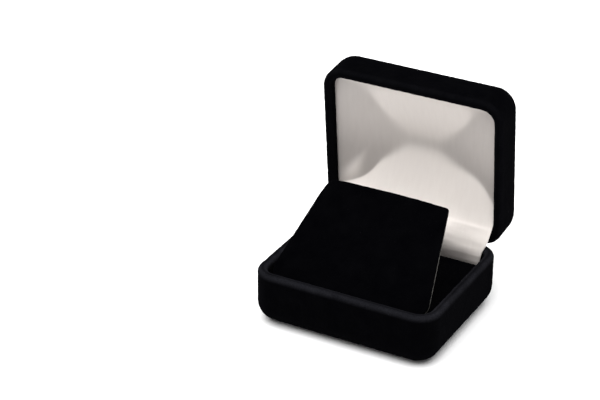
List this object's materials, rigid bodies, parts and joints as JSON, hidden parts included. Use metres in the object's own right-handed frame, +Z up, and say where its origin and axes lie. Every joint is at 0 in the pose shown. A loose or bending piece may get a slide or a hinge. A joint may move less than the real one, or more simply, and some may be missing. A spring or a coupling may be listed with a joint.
{
  "type": "jewellery presentation box",
  "caption": "Small velvet-covered jewellery box with a snap-hinged lid lined in white satin and a folding velvet display flap in the base.",
  "frame": {"origin": "centre of the flat underside the box stands on", "axes": "+X to the right seen from the front, +Y back to the hinge, +Z up; the lid is open and the flap leans back"},
  "size_m": [0.06, 0.0642, 0.0679],
  "materials": {
    "velvet": "black cotton-backed velvet, short dense pile",
    "lining_flock": "black flocked paper",
    "satin": "white polyester satin",
    "wadding": "white polyester wadding",
    "card": "grey pulp board",
    "shell_plastic": "moulded black polystyrene",
    "hinge_steel": "nickel-plated spring steel",
    "spring_steel": "blued flat spring steel",
    "rivet_brass": "plain brass"
  },
  "bodies": {
    "base": {"base_shell": "shell_plastic", "base_velvet": "velvet", "insert_tray": "card", "insert_velvet": "velvet", "hinge_base_leaf": "hinge_steel", "hinge_pin": "hinge_steel", "hinge_base_rivets": "rivet_brass", "hinge_spring": "spring_steel", "hinge_apron": "satin", "flap_fold_strip": "velvet"},
    "lid": {"lid_shell": "shell_plastic", "lid_velvet": "velvet", "lid_lining_board": "card", "lid_lining_frame": "card", "lid_wadding": "wadding", "lid_satin": "satin", "hinge_lid_leaf": "hinge_steel", "hinge_lid_rivets": "rivet_brass"},
    "flap": {"flap_board": "card", "flap_velvet": "velvet", "flap_back_lining": "lining_flock"}
  },
  "joints": [
    {"name": "lid_hinge", "type": "hinge", "parent": "base", "child": "lid", "pos_m": [0, 0.02425, 0.0178], "axis": [1, 0, 0], "range_deg": [0, 84], "deforming": ["hinge_spring", "hinge_apron"]},
    {"name": "flap_fold", "type": "hinge", "parent": "base", "child": "flap", "pos_m": [0, -0.0215, 0.0123], "axis": [1, 0, 0], "range_deg": [-36, 0], "deforming": ["flap_fold_strip"]}
  ],
  "couplings": [
    {"joint": "flap_fold", "follows": "lid_hinge", "ratio": -0.42857}
  ]
}
